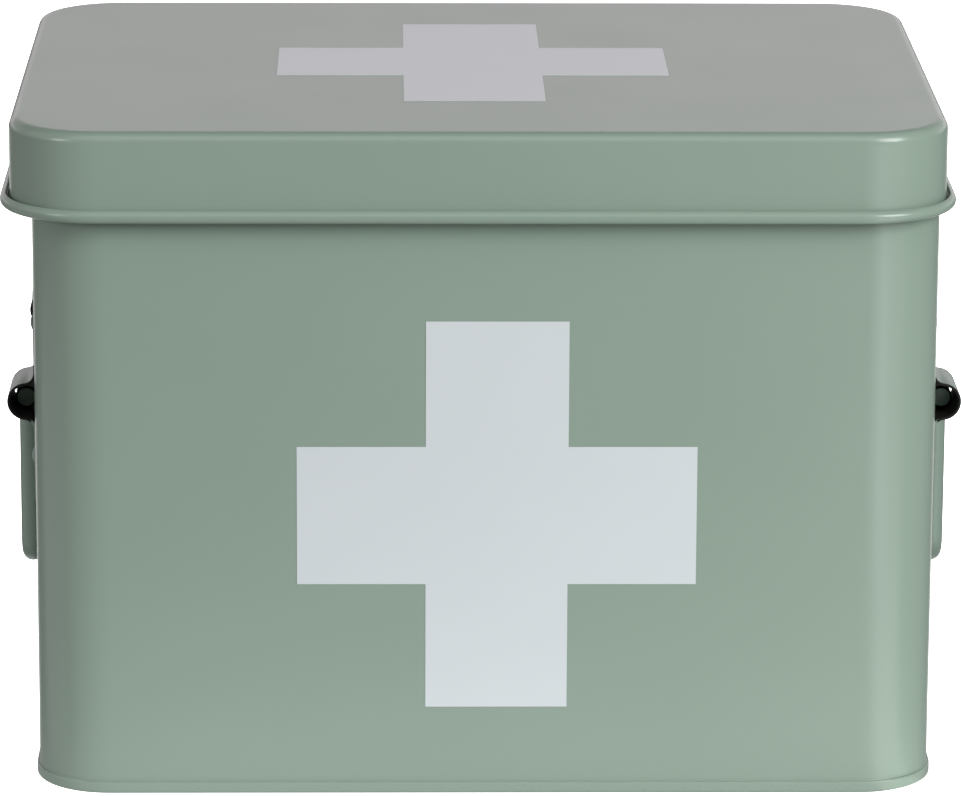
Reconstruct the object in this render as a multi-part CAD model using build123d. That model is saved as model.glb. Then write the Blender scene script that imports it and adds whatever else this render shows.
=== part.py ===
"""Sheet-metal medicine box with an overlapping hinged lid and two hanging side handles.

Millimetres, +Z up.  The origin is the centre of the body at the plane it stands on, the front
faces -Y and the hinges are at +Y.  Each function makes one piece of the bench parts list, and
the bottom of the file writes one STEP for each.
"""
from build123d import *
import math
import os

# ---------------------------------------------------------------- driving dimensions
# body: a wall bent from one sheet, with a seamed bottom
body_width = 211.5
body_depth = 156.0
body_corner = 17.3         # outside radius of the upright corners
body_sheet = 0.6
rim_roll = 1.3             # outside radius of the roll that hides the wall's cut top edge
side_seam_width = 6.0      # lock seam up the middle of the back
side_seam_proud = 0.6

# bottom: a panel let in from below, its edge hooked up round the foot of the wall
bottom_sheet = 0.6
seam_height = 2.8
seam_gap = 0.05            # between the hook and the wall that it grips
panel_height = 2.2         # underside of the panel above the ground
edge_round = 0.25          # rounding of the seam's outer edges

# lid: a drawn pan over the outside of the body
box_height = 159.5         # ground to the top of the closed lid
lid_height = 20.9
lid_sheet = 0.6
lid_overhang = 3.25        # outside of the body to outside of the skirt, on average
lid_shift = -1.8           # the loose lid rides this far off centre, towards the left
lid_shoulder = 2.5         # outside radius between top and skirt
lid_rest_gap = 0.3         # underside of the top above the body's rim
curl_proud = 2.3           # how far the curl stands out from the skirt
curl_height = 3.0          # bottom of the curl to its top
curl_turn = 110.0          # degrees that its edge turns back over the top, towards the skirt

# hinges: two butt hinges at the back, riveted on
hinge_inset = 45.75        # side of the body to the middle of a hinge
hinge_width = 30.0
hinge_leaf = 0.8
hinge_leaf_reach = 17.0    # pin axis to the end of a leaf
hinge_drop = 0.4           # bottom of the lid's curl to the top of the barrel
hinge_pin_clearance = 0.05
knuckle_count = 3
knuckle_gap = 0.2
notch_clearance = 1.0      # each side of a leaf, where the curl is cut away for it
hinge_leaf_corner = 2.0
hinge_rivet_spacing = 18.0
hinge_rivet_height = 11.0  # pin axis to the rivets' row

# handle brackets: four straps with a loop bent in the middle
strap_spacing = 91.0       # centre to centre of the two straps on one side
strap_width = 16.0
strap_length = 51.4
strap_sheet = 0.7
strap_corner = 2.5
strap_height = 90.1        # ground to the middle of a strap
loop_drop = 1.2            # the loop sits this far below the middle of the strap
loop_radius = 4.5          # outside of the loop's nose
loop_reach = 7.0           # wall to the outside of the nose
loop_root = 2.5            # radius of the bends that lead into the loop
bracket_rivet_spacing = 32.6

# handles: one round rod each, bent at the four corners
rod_diameter = 5.2
handle_drop = 43.0         # pivot axis to the axis of the grip
handle_arm_gap = 6.0       # strap's inner edge to the axis of the arm
handle_bend = 5.0          # bend radius on the rod's axis
rod_insertion = 8.3        # length of rod end inside a strap's loop
rod_standoff = 0.3         # wall to the nearest side of the rod
rod_play = 0.3             # rod to the inside of the loop that it hangs in
rod_end_chamfer = 0.5

# rivets, all of one size
rivet_shank = 3.0
rivet_hole = 3.1
rivet_head = 5.0
rivet_head_height = 1.0
rivet_tail_height = 0.7

# printed crosses, equal arms
print_thickness = 0.12
front_cross_span = 93.2
front_cross_arm = 33.2
front_cross_x = 2.5
front_cross_height = 67.9  # ground to the middle of the cross
lid_cross_span = 94.0
lid_cross_arm = 33.3
lid_cross_x = -0.7         # from the middle of the lid
lid_cross_y = 2.6

# ---------------------------------------------------------------- derived sizes
lid_width = body_width + 2 * lid_overhang
lid_depth = body_depth + 2 * lid_overhang
lid_corner = body_corner + lid_overhang
lid_bottom = box_height - lid_height
rim_height = box_height - lid_sheet - lid_rest_gap
wall_foot = bottom_sheet + seam_gap

curl_inner = (curl_proud - lid_sheet) / 2
curl_outer = curl_inner + lid_sheet
curl_centre = lid_bottom + curl_outer
curl_top = lid_bottom + curl_height
curl_upper = curl_top - curl_outer

body_back = body_depth / 2
hinge_spacing = body_width - 2 * hinge_inset
skirt_back = lid_depth / 2
barrel_radius = (skirt_back + hinge_leaf - body_back) / 2
hinge_y = body_back + barrel_radius
hinge_z = lid_bottom - hinge_drop - barrel_radius
hinge_pin_radius = barrel_radius - hinge_leaf - hinge_pin_clearance

wall_side = body_width / 2
strap_front_y = strap_spacing / 2
loop_z = strap_height - loop_drop
loop_centre = loop_reach - loop_radius
rod_radius = rod_diameter / 2
pivot_out = rod_standoff + rod_radius
rod_swing_room = loop_radius - strap_sheet - rod_radius - rod_play
pivot_z = loop_z - math.sqrt(rod_swing_room**2 - (pivot_out - loop_centre) ** 2)
rod_end_y = strap_front_y - strap_width / 2 + rod_insertion
arm_y = strap_front_y - strap_width / 2 - handle_arm_gap

SIDES = {"left": -1, "right": 1}
ENDS = {"front": -1, "rear": 1}


# ---------------------------------------------------------------- shared helpers
def section(*lines):
    """Face of a closed outline drawn as (distance outwards, height), stood up in the XZ plane."""
    return Plane.XZ * make_face(Curve() + list(lines))


def carry_round(profile, width, depth, corner):
    """Solid left by a section carried once round a rounded rectangle, outside face at x = 0."""
    run_x = width / 2 - corner
    run_y = depth / 2 - corner
    pieces = []
    for quarter in range(4):
        out, along = (run_x, run_y) if quarter % 2 == 0 else (run_y, run_x)
        straight = extrude(Pos(out + corner, -along, 0) * profile, 2 * along, dir=(0, 1, 0))
        bend = Pos(out, along, 0) * revolve(Pos(corner, 0, 0) * profile, Axis.Z, 90)
        turn = Rot(0, 0, 90 * quarter)
        pieces += [turn * straight, turn * bend]
    return pieces[0].fuse(*pieces[1:]).clean()


def panel(width, depth, corner, thickness, underside):
    """Flat plate with rounded corners, its underside at the given height."""
    return Pos(0, 0, underside) * extrude(RectangleRounded(width, depth, corner), thickness)


def block(x_range, y_range, z_range):
    """Box between two values on each axis."""
    spans = [abs(high - low) for low, high in (x_range, y_range, z_range)]
    middle = [(low + high) / 2 for low, high in (x_range, y_range, z_range)]
    return Pos(*middle) * Box(*spans)


def cross(span, arm, thickness):
    """Equal-armed cross lying in the XY plane."""
    return extrude(Rectangle(span, arm) + Rectangle(arm, span), thickness)


def facing(point, outwards):
    """Plane on a surface at a point, its normal pointing outwards."""
    return Plane(origin=point, z_dir=outwards)


def rivet_bore(point, outwards, depth):
    """Cutter for the hole of a rivet, through a stack of sheets under the point."""
    margin = 1.0
    cutter = Cylinder(rivet_hole / 2, depth + 2 * margin, align=(Align.CENTER, Align.CENTER, Align.MAX))
    return facing(point, outwards) * Pos(0, 0, margin) * cutter


def rivet(point, outwards, grip):
    """Rivet with a domed head on the surface at the point and a flat tail behind the sheets."""
    head_radius = rivet_head / 2
    dome_radius = (head_radius**2 + rivet_head_height**2) / (2 * rivet_head_height)
    dome = Pos(0, 0, rivet_head_height - dome_radius) * Sphere(dome_radius)
    above = Pos(0, 0, dome_radius) * Box(4 * head_radius, 4 * head_radius, 2 * dome_radius)
    shank = Cylinder(rivet_shank / 2, grip, align=(Align.CENTER, Align.CENTER, Align.MAX))
    tail = Cylinder(head_radius, rivet_tail_height, align=(Align.CENTER, Align.CENTER, Align.MAX))
    return facing(point, outwards) * ((dome & above) + shank + Pos(0, 0, -grip) * tail)


def edges_at(solid, direction, along, place):
    """Edges parallel to one axis whose middles lie at a place on another axis."""
    reach = 0.01
    return solid.edges().filter_by(direction).filter_by_position(along, place - reach, place + reach)


def write(name, shape):
    """Write one named piece."""
    export_step(shape, os.path.join("parts", name + ".step"))


# ---------------------------------------------------------------- where the rivets go
def bracket_rivet_points(side, end):
    """Places on a strap's outer face for its two rivets."""
    x = side * (wall_side + strap_sheet)
    y = end * strap_front_y
    return [(x, y, strap_height + step * bracket_rivet_spacing / 2) for step in (-1, 1)]


def hinge_rivet_points(surface_y, up):
    """Places on a leaf's outer face for the rivets of both hinges."""
    z = hinge_z + up * hinge_rivet_height
    return [
        (middle * hinge_spacing / 2 + step * hinge_rivet_spacing / 2, surface_y, z)
        for middle in (-1, 1)
        for step in (-1, 1)
    ]


body_leaf_face = body_back + hinge_leaf
lid_leaf_face = skirt_back + hinge_leaf
bracket_grip = strap_sheet + body_sheet
body_hinge_grip = hinge_leaf + body_sheet
lid_hinge_grip = hinge_leaf + lid_sheet


# ---------------------------------------------------------------- body
def body_wall():
    """Wall with its rolled rim, its seam up the back and the holes for every rivet."""
    roll_inner = rim_roll - body_sheet
    roll_z = rim_height - rim_roll
    profile = section(
        Line((0, wall_foot), (0, roll_z)),
        CenterArc((-rim_roll, roll_z), rim_roll, 0, 270),
        Line((-rim_roll, roll_z - rim_roll), (-rim_roll, roll_z - roll_inner)),
        CenterArc((-rim_roll, roll_z), roll_inner, 0, 270),
        Line((-body_sheet, roll_z), (-body_sheet, wall_foot)),
        Line((-body_sheet, wall_foot), (0, wall_foot)),
    )
    wall = carry_round(profile, body_width, body_depth, body_corner)
    half_seam = side_seam_width / 2
    seam_z = (seam_height + side_seam_proud, roll_z - side_seam_proud)
    seam = block((-half_seam, half_seam), (body_back, body_back + side_seam_proud), seam_z)
    wall = wall + chamfer(seam.faces().sort_by(Axis.Y)[-1].edges(), side_seam_proud / 2)
    for side in SIDES.values():
        for end in ENDS.values():
            for point in bracket_rivet_points(side, end):
                wall = wall - rivet_bore(point, (side, 0, 0), bracket_grip)
    for point in hinge_rivet_points(body_leaf_face, -1):
        wall = wall - rivet_bore(point, (0, 1, 0), body_hinge_grip)
    return wall


def bottom_pan():
    """Bottom panel with the channel round it that grips the foot of the wall."""
    outside = seam_gap + bottom_sheet
    inside = -body_sheet - seam_gap - bottom_sheet
    panel_top = panel_height + bottom_sheet
    profile = section(
        Line((inside, 0), (outside - edge_round, 0)),
        CenterArc((outside - edge_round, edge_round), edge_round, -90, 90),
        Line((outside, edge_round), (outside, seam_height - edge_round)),
        CenterArc((outside - edge_round, seam_height - edge_round), edge_round, 0, 90),
        Line((outside - edge_round, seam_height), (seam_gap, seam_height)),
        Line((seam_gap, seam_height), (seam_gap, bottom_sheet)),
        Line((seam_gap, bottom_sheet), (inside + bottom_sheet, bottom_sheet)),
        Line((inside + bottom_sheet, bottom_sheet), (inside + bottom_sheet, panel_top)),
        Line((inside + bottom_sheet, panel_top), (inside, panel_top)),
        Line((inside, panel_top), (inside, 0)),
    )
    channel = carry_round(profile, body_width, body_depth, body_corner)
    inset = 2 * inside
    plate = panel(body_width + inset, body_depth + inset, body_corner + inside, bottom_sheet, panel_height)
    return channel + plate


def front_cross():
    """White cross printed on the front of the body."""
    place = facing((front_cross_x, -body_depth / 2, front_cross_height), (0, -1, 0))
    return place * cross(front_cross_span, front_cross_arm, print_thickness)


# ---------------------------------------------------------------- lid
def lid_pan():
    """Lid: top, shoulder, skirt and the curl rolled at its edge, notched for the hinges."""
    skirt_top = box_height - lid_shoulder
    inner_shoulder = lid_shoulder - lid_sheet
    turn = math.radians(curl_turn)
    edge = [
        (curl_inner + radius * math.cos(turn), curl_upper + radius * math.sin(turn))
        for radius in (curl_outer, curl_inner)
    ]
    profile = section(
        Line((0, curl_centre), (0, skirt_top)),
        CenterArc((-lid_shoulder, skirt_top), lid_shoulder, 0, 90),
        Line((-lid_shoulder, box_height), (-lid_shoulder, box_height - lid_sheet)),
        CenterArc((-lid_shoulder, skirt_top), inner_shoulder, 0, 90),
        Line((-lid_sheet, skirt_top), (-lid_sheet, curl_centre)),
        CenterArc((curl_inner, curl_centre), curl_outer, 180, 180),
        Line((curl_proud, curl_centre), (curl_proud, curl_upper)),
        CenterArc((curl_inner, curl_upper), curl_outer, 0, curl_turn),
        Line(edge[0], edge[1]),
        CenterArc((curl_inner, curl_upper), curl_inner, 0, curl_turn),
        Line((2 * curl_inner, curl_upper), (2 * curl_inner, curl_centre)),
        CenterArc((curl_inner, curl_centre), curl_inner, 180, 180),
    )
    skirt = carry_round(profile, lid_width, lid_depth, lid_corner)
    inset = 2 * lid_shoulder
    top = panel(
        lid_width - inset, lid_depth - inset, lid_corner - lid_shoulder, lid_sheet, box_height - lid_sheet
    )
    lid = Pos(lid_shift, 0, 0) * (skirt + top)
    beyond = skirt_back + 2 * curl_proud
    for middle in (-1, 1):
        centre = middle * hinge_spacing / 2
        half_notch = hinge_width / 2 + notch_clearance
        span = (centre - half_notch, centre + half_notch)
        behind = (skirt_back, beyond)
        under = (skirt_back - 2 * lid_sheet, beyond)
        lid = lid - block(span, behind, (lid_bottom - 1, curl_top + 1))
        lid = lid - block(span, under, (lid_bottom - 1, curl_centre))
    for point in hinge_rivet_points(lid_leaf_face, 1):
        lid = lid - rivet_bore(point, (0, 1, 0), lid_hinge_grip)
    return lid


def lid_cross():
    """White cross printed on the top of the lid."""
    place = Pos(lid_shift + lid_cross_x, lid_cross_y, box_height)
    return place * cross(lid_cross_span, lid_cross_arm, print_thickness)


# ---------------------------------------------------------------- hinges
def knuckle(number, centre):
    """One length of hinge barrel, bored for the pin; the end ones are number 0 and the last."""
    pitch = hinge_width / knuckle_count
    low = centre - hinge_width / 2 + number * pitch
    start = low + (knuckle_gap / 2 if number > 0 else 0)
    stop = low + pitch - (knuckle_gap / 2 if number < knuckle_count - 1 else 0)
    bored = Circle(barrel_radius) - Circle(barrel_radius - hinge_leaf)
    return Plane(origin=(start, hinge_y, hinge_z), z_dir=(1, 0, 0)) * extrude(bored, stop - start), (start, stop)


def leaf(middle, numbers, face_y, up):
    """Leaf of one hinge: a plate tangent to the barrel and the knuckles rolled from it."""
    centre = middle * hinge_spacing / 2
    clear = hinge_y + up * (barrel_radius - hinge_leaf)
    far = hinge_z + up * hinge_leaf_reach
    relief = hinge_z + up * (barrel_radius + knuckle_gap)
    half = hinge_width / 2
    outer = face_y - hinge_leaf
    plate = block((centre - half, centre + half), (outer, face_y), (min(relief, far), max(relief, far)))
    pieces = []
    for number in numbers:
        roll, span = knuckle(number, centre)
        tab = block(span, (clear, hinge_y + up * barrel_radius), (min(hinge_z, far), max(hinge_z, far)))
        pieces += [roll, tab]
    solid = fillet(edges_at(plate.fuse(*pieces).clean(), Axis.Y, Axis.Z, far), hinge_leaf_corner)
    bore = Plane(origin=(centre - half - 1, hinge_y, hinge_z), z_dir=(1, 0, 0))
    solid = solid - bore * extrude(Circle(barrel_radius - hinge_leaf), hinge_width + 2)
    for x, y, z in hinge_rivet_points(face_y, up):
        if abs(x - centre) < half:
            solid = solid - rivet_bore((x, y, z), (0, 1, 0), hinge_leaf)
    return solid


def hinge_pin(middle):
    """Pin through all the knuckles of one hinge, flush with their ends."""
    start = middle * hinge_spacing / 2 - hinge_width / 2
    return Plane(origin=(start, hinge_y, hinge_z), z_dir=(1, 0, 0)) * extrude(
        Circle(hinge_pin_radius), hinge_width
    )


# ---------------------------------------------------------------- handles
def strap(side, end):
    """Handle bracket: a strap lying on the wall with a loop bent outwards between its rivets."""
    half = strap_length / 2
    nose = loop_z
    reach = loop_centre
    root_out = strap_sheet + loop_root
    root_rise = math.sqrt((loop_radius + loop_root) ** 2 - (root_out - reach) ** 2)
    tip = math.degrees(math.atan2(root_rise, root_out - reach))
    inner_nose = loop_radius - strap_sheet
    inner_root = loop_root + strap_sheet
    lines = []
    for up in (1, -1):
        flat_end = strap_height + up * half
        root_z = nose + up * root_rise
        lines += [
            Line((0, flat_end), (strap_sheet, flat_end)),
            Line((strap_sheet, flat_end), (strap_sheet, root_z)),
            CenterArc((root_out, root_z), loop_root, 180, up * tip),
            CenterArc((root_out, root_z), inner_root, 180, up * tip),
            Line((0, flat_end), (0, root_z)),
        ]
    lines += [
        CenterArc((reach, nose), loop_radius, -tip, 2 * tip),
        CenterArc((reach, nose), inner_nose, -tip, 2 * tip),
    ]
    solid = extrude(section(*lines), strap_width / 2, both=True)
    for up in (1, -1):
        solid = fillet(edges_at(solid, Axis.X, Axis.Z, strap_height + up * half), strap_corner)
    if side < 0:
        solid = mirror(solid, Plane.YZ)
    solid = Pos(side * wall_side, end * strap_front_y, 0) * solid
    for point in bracket_rivet_points(side, end):
        solid = solid - rivet_bore(point, (side, 0, 0), bracket_grip)
    return solid


def handle(side):
    """Handle: one rod along its two ends, down both arms and across the grip."""
    x = side * (wall_side + pivot_out)
    grip_z = pivot_z - handle_drop
    corners = [
        (x, -rod_end_y, pivot_z),
        (x, -arm_y, pivot_z),
        (x, -arm_y, grip_z),
        (x, arm_y, grip_z),
        (x, arm_y, pivot_z),
        (x, rod_end_y, pivot_z),
    ]
    path = FilletPolyline(*corners, radius=handle_bend)
    rod = sweep(Plane(origin=corners[0], z_dir=(0, 1, 0)) * Circle(rod_radius), path=path)
    cut_ends = [rod.faces().sort_by(Axis.Y)[place].edges() for place in (0, -1)]
    return chamfer(cut_ends[0] + cut_ends[1], rod_end_chamfer)


# ---------------------------------------------------------------- write every piece
os.makedirs("parts", exist_ok=True)

write("body_wall", body_wall())
write("bottom_pan", bottom_pan())
write("front_cross", front_cross())
write("lid_pan", lid_pan())
write("lid_cross", lid_cross())

for side_name, side in SIDES.items():
    fasteners = []
    for end_name, end in ENDS.items():
        write(f"handle_strap_{side_name}_{end_name}", strap(side, end))
        fasteners += [rivet(p, (side, 0, 0), bracket_grip) for p in bracket_rivet_points(side, end)]
    write(f"strap_rivets_{side_name}", Compound(children=fasteners))
    write(f"handle_{side_name}", handle(side))
    write(f"hinge_body_leaf_{side_name}", leaf(side, (0, 2), body_leaf_face, -1))
    write(f"hinge_lid_leaf_{side_name}", leaf(side, (1,), lid_leaf_face, 1))
    write(f"hinge_pin_{side_name}", hinge_pin(side))

body_fasteners = [rivet(p, (0, 1, 0), body_hinge_grip) for p in hinge_rivet_points(body_leaf_face, -1)]
lid_fasteners = [rivet(p, (0, 1, 0), lid_hinge_grip) for p in hinge_rivet_points(lid_leaf_face, 1)]
write("hinge_rivets_body", Compound(children=body_fasteners))
write("hinge_rivets_lid", Compound(children=lid_fasteners))

print("pivot", round(wall_side + pivot_out, 3), round(pivot_z, 3))
print("hinge axis", round(hinge_y, 3), round(hinge_z, 3))
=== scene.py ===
# %% [markdown]
# # A painted sheet-metal medicine box
# The box is bent and pressed from thin steel sheet, riveted, and painted sage green all over.
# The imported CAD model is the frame: it says where each piece is and how it moves. Sheet metal is
# known by its bends, so almost every piece is made again here as a smooth surface worked out
# with numpy, with rounded edges that catch the light, and stands for its CAD node.

# %% Load the frame
import bpy
import numpy as np
from mathutils import Matrix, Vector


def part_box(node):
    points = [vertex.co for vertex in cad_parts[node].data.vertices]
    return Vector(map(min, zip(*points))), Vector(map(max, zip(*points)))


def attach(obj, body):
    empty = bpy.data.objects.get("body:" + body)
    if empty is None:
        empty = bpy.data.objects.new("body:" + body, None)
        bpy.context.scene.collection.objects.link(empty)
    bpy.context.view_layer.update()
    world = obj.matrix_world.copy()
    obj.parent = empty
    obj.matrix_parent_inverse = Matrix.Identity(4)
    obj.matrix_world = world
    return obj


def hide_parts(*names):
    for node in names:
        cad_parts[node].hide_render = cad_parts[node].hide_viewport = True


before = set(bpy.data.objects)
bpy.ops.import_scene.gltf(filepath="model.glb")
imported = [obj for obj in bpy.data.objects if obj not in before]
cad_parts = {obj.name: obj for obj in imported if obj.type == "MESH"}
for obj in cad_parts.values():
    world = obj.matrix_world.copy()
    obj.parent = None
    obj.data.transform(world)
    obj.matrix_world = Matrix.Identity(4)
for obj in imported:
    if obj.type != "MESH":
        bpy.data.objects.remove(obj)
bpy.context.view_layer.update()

# %% [markdown]
# ## Camera
# A long lens from a little above, pointed down at the front. It could be aimed with a Track To
# constraint, but a matrix written from its three directions keeps every angle exact. The lens is
# not shifted, so that the other views keep the box in the middle.

# %% Camera
IMAGE_WIDTH = 961
SENSOR = 36.0
FOCAL_PIXELS = 5782.5
MM = 0.001
CAMERA_PLACE = np.array([-23.36, -1374.8, 434.95]) * MM
YAW, PITCH, ROLL = 0.01691, 0.25544, 0.00444

def camera_matrix(place, yaw, pitch, roll):
    """Columns are the camera's right, up and backward directions; the forward direction is
    (sin yaw cos pitch, cos yaw cos pitch, -sin pitch), and roll turns right and up about it."""
    forward = np.array([np.sin(yaw) * np.cos(pitch), np.cos(yaw) * np.cos(pitch), -np.sin(pitch)])
    level = np.array([np.cos(yaw), -np.sin(yaw), 0.0])
    lift = np.cross(level, forward)
    right = np.cos(roll) * level + np.sin(roll) * lift
    up = np.cos(roll) * lift - np.sin(roll) * level
    matrix = np.eye(4)
    matrix[:3] = np.stack([right, up, -forward, place], axis=1)
    return Matrix(matrix.tolist())

camera_data = bpy.data.cameras.new("camera")
camera_data.sensor_fit = "HORIZONTAL"
camera_data.sensor_width = SENSOR
camera_data.lens = FOCAL_PIXELS * SENSOR / IMAGE_WIDTH
camera = bpy.data.objects.new("camera", camera_data)
camera.matrix_world = camera_matrix(CAMERA_PLACE, YAW, PITCH, ROLL)
bpy.context.collection.objects.link(camera)
bpy.context.scene.camera = camera
print("lens", round(camera_data.lens, 1))

# %% [markdown]
# ## Lines and sections
# Sheet metal is drawn as a line before it is bent, and so it is here: a line is laid from
# straight runs and arcs, and a sheet's section is that line with a thickness and half-round
# edges. Modelling by hand with loop cuts could give the same shapes; formulas keep the radii
# true and the rows even, so the paint shades smoothly.

# %% Lines
HOLD, HOLD_SHARE = 0.6, 0.25

def run(start, stop):
    """Straight line start + t (stop - start), with a point a short hold inside each end, so
    that the shading of a bend doesn't leak into the flat beside it."""
    start, stop = np.array(start, float), np.array(stop, float)
    hold = min(HOLD / np.linalg.norm(stop - start), HOLD_SHARE)
    return start + np.array([0, hold, 0.5, 1 - hold, 1])[:, None] * (stop - start)

def arc(centre, radius, start, sweep, spacing=6.0):
    """Arc centre + radius (cos a, sin a), where a goes from start over sweep, in degrees."""
    count = int(np.ceil(abs(sweep) / spacing)) + 1
    a = np.radians(start + np.linspace(0, sweep, count))
    return np.array(centre) + radius * np.stack([np.cos(a), np.sin(a)], axis=1)

def joined(*parts):
    """One line from parts laid end to end, without the points that they share."""
    line = np.concatenate(parts)
    apart = np.linalg.norm(np.diff(line, axis=0), axis=1) > 1e-6
    return line[np.concatenate([[True], apart])]

def directions(line):
    """Unit direction at each point: the sum of the two neighbouring steps' directions."""
    move = np.diff(line, axis=0)
    move /= np.linalg.norm(move, axis=1, keepdims=True)
    along = np.concatenate([move[:1], move[:-1] + move[1:], move[-1:]])
    return along / np.linalg.norm(along, axis=1, keepdims=True)

def left_of(along):
    """The direction turned a quarter turn to the left."""
    return np.stack([-along[:, 1], along[:, 0]], axis=1)

def distance_to_ends(line):
    """Length along the line from each point to the start, and to the end."""
    length = np.concatenate([[0], np.cumsum(np.linalg.norm(np.diff(line, axis=0), axis=1))])
    return length, length[-1] - length

def sheet_section(line, thickness, round_start=True, round_end=True):
    """Outline of a sheet that follows a line: the line moved half a thickness to the left, a
    half circle about its end, the line moved to the right, and a half circle about its start."""
    along = directions(line)
    left = left_of(along) * thickness / 2
    b = np.linspace(0, np.pi, 8)[1:-1, None]
    far = line[-1] + np.cos(b) * left[-1] + np.sin(b) * along[-1] * thickness / 2
    near = line[0] - np.cos(b) * left[0] - np.sin(b) * along[0] * thickness / 2
    return np.concatenate([line + left, far if round_end else far[:0],
                           (line - left)[::-1], near if round_start else near[:0]])

# %% [markdown]
# ## Skins
# A section becomes a sheet when it is carried along a path, which gives a grid of points. A skin
# closes that grid and turns its faces outwards. Solidify could thicken an open surface, but it
# leaves its edges square and its seams to chance; here the section already goes round the edges,
# and the sign of the volume inside tells whether the faces look the right way.

# %% Skins
def volume(points, faces):
    """Signed volume inside a closed skin: the sum of a . (b x c) / 6 over its triangles."""
    fans = [face[:, [0, k, k + 1]] for face in faces for k in range(1, face.shape[1] - 1)]
    a, b, c = points[np.concatenate(fans)].transpose(1, 0, 2)
    return np.einsum("ij,ij->", a, np.cross(b, c)) / 6

def skin(grid, ends):
    """Closed skin over a grid (rows, columns, 3) whose columns go once round. Its ends are
    joined to each other, drawn to a pole at the middle of the end row, or closed by a strip
    between the two halves of the end row. Faces are turned so that they point outwards."""
    rows, columns = grid.shape[:2]
    points = grid.reshape(-1, 3)
    number = np.arange(rows * columns).reshape(rows, columns)
    if ends == "joined":
        number = np.vstack([number, number[:1]])
    beside = np.roll(number, -1, axis=1)
    faces = [np.stack([number[:-1], beside[:-1], beside[1:], number[1:]], axis=-1).reshape(-1, 4)]
    if ends == "poles":
        points = np.vstack([points, grid[[0, -1]].mean(axis=1)])
        low, high = np.full(columns, len(points) - 2), np.full(columns, len(points) - 1)
        faces.append(np.concatenate([np.stack([beside[0], number[0], low], axis=1),
                                     np.stack([number[-1], beside[-1], high], axis=1)]))
    if ends == "strips":
        i = np.arange(columns // 2 - 1)
        across = np.stack([i, i + 1, columns - 2 - i, columns - 1 - i], axis=1)
        faces.append(np.concatenate([number[0][across], number[-1][across[:, ::-1]]]))
    if volume(points, faces) < 0:
        faces = [face[:, ::-1] for face in faces]
    return points, faces

def carried(section, path):
    """Grid of a section (outwards, height) carried along a path in plan: path + outwards x
    left normal, at the section's height. Rows follow the section and columns the path."""
    out = left_of(directions(path))
    plan = path[None] + section[:, 0, None, None] * out[None]
    height = np.broadcast_to(section[:, 1, None, None], plan.shape[:2] + (1,))
    return np.concatenate([plan, height], axis=2)

def filled(grid, share=(0.985, 0.9, 0.7, 0.4, 0.12)):
    """Grid with its first and last rows repeated ever smaller about the middle of the plan,
    until a pole can close them."""
    scale = np.array(share)[:, None, None] * np.array([1, 1, 0]) + np.array([0, 0, 1])
    return np.concatenate([(grid[:1] * scale)[::-1], grid, grid[-1:] * scale])

# %% [markdown]
# ## Pieces
# A piece is one mesh, made of one or more closed skins, as a rivet set or a riveted leaf is one
# thing on the bench. It rides on the body that moves it and stands for its CAD node. Its faces
# are shaded smooth, and only bends sharper than the crease angle stay sharp, so no Bevel
# modifier is needed on top.

# %% Pieces
CREASE = 35.0

def make_piece(name, skins, body, finish, stands_for):
    """One mesh from closed skins in millimetres, riding on a body and standing for CAD nodes."""
    start = np.cumsum([0] + [len(points) for points, _ in skins[:-1]])
    points = np.concatenate([points for points, _ in skins]) * MM
    faces = [face for first, (_, parts) in zip(start, skins)
             for part in parts for face in (part + first).tolist()]
    mesh = bpy.data.meshes.new(name)
    mesh.from_pydata(points.tolist(), [], faces)
    mesh.polygons.foreach_set("use_smooth", np.ones(len(faces), bool))
    mesh.set_sharp_from_angle(angle=np.radians(CREASE))
    mesh.materials.append(finish)
    piece = bpy.data.objects.new(name, mesh)
    bpy.context.collection.objects.link(piece)
    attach(piece, body)
    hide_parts(*stands_for)
    print(name, len(faces), "faces")
    return piece

# %% [markdown]
# ## Enamel
# The real finish is a sprayed and baked enamel, semi-gloss and very even. Up close it has a faint
# orange peel about a millimetre across, the thin sheet under it is not quite flat, and its gloss
# varies a little. A plain colour would look like plastic, and painted textures would need
# pictures; noise on the piece's own coordinates gives all of it. Every green piece uses it, so it
# is a node group with its amounts as inputs.

# %% Node helpers
def feed(tree, socket, value):
    """Link a socket to another, or set it to a number, or to a colour (red, green, blue)."""
    if isinstance(value, bpy.types.NodeSocket):
        tree.links.new(value, socket)
    else:
        socket.default_value = (*value, 1) if isinstance(value, tuple) else value

def noise(tree, vector, scale, detail=2.0):
    """Noise texture on a vector: its grey output, with about scale / 1000 grains to a millimetre."""
    node = tree.nodes.new("ShaderNodeTexNoise")
    feed(tree, node.inputs["Vector"], vector)
    feed(tree, node.inputs["Scale"], scale)
    feed(tree, node.inputs["Detail"], detail)
    return node.outputs["Fac"]

def math_node(tree, operation, first, second):
    """Math node whose inputs are sockets or numbers."""
    node = tree.nodes.new("ShaderNodeMath")
    node.operation = operation
    feed(tree, node.inputs[0], first)
    feed(tree, node.inputs[1], second)
    return node.outputs[0]

def product(tree, first, second):
    """Product of two sockets, or of a socket and a number."""
    return math_node(tree, "MULTIPLY", first, second)

def step(tree, socket, low, high):
    """Smooth step of a socket: 0 up to one value, 1 from the other on. It falls if low > high."""
    node = tree.nodes.new("ShaderNodeMapRange")
    node.interpolation_type = "SMOOTHSTEP"
    node.inputs["From Min"].default_value, node.inputs["From Max"].default_value = low, high
    tree.links.new(socket, node.inputs["Value"])
    return node.outputs["Result"]

def mixed(tree, factor, first, second):
    """Colour between two, by a factor."""
    node = tree.nodes.new("ShaderNodeMix")
    node.data_type = "RGBA"
    tree.links.new(factor, node.inputs[0])
    feed(tree, node.inputs[6], first)
    feed(tree, node.inputs[7], second)
    return node.outputs[2]

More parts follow.
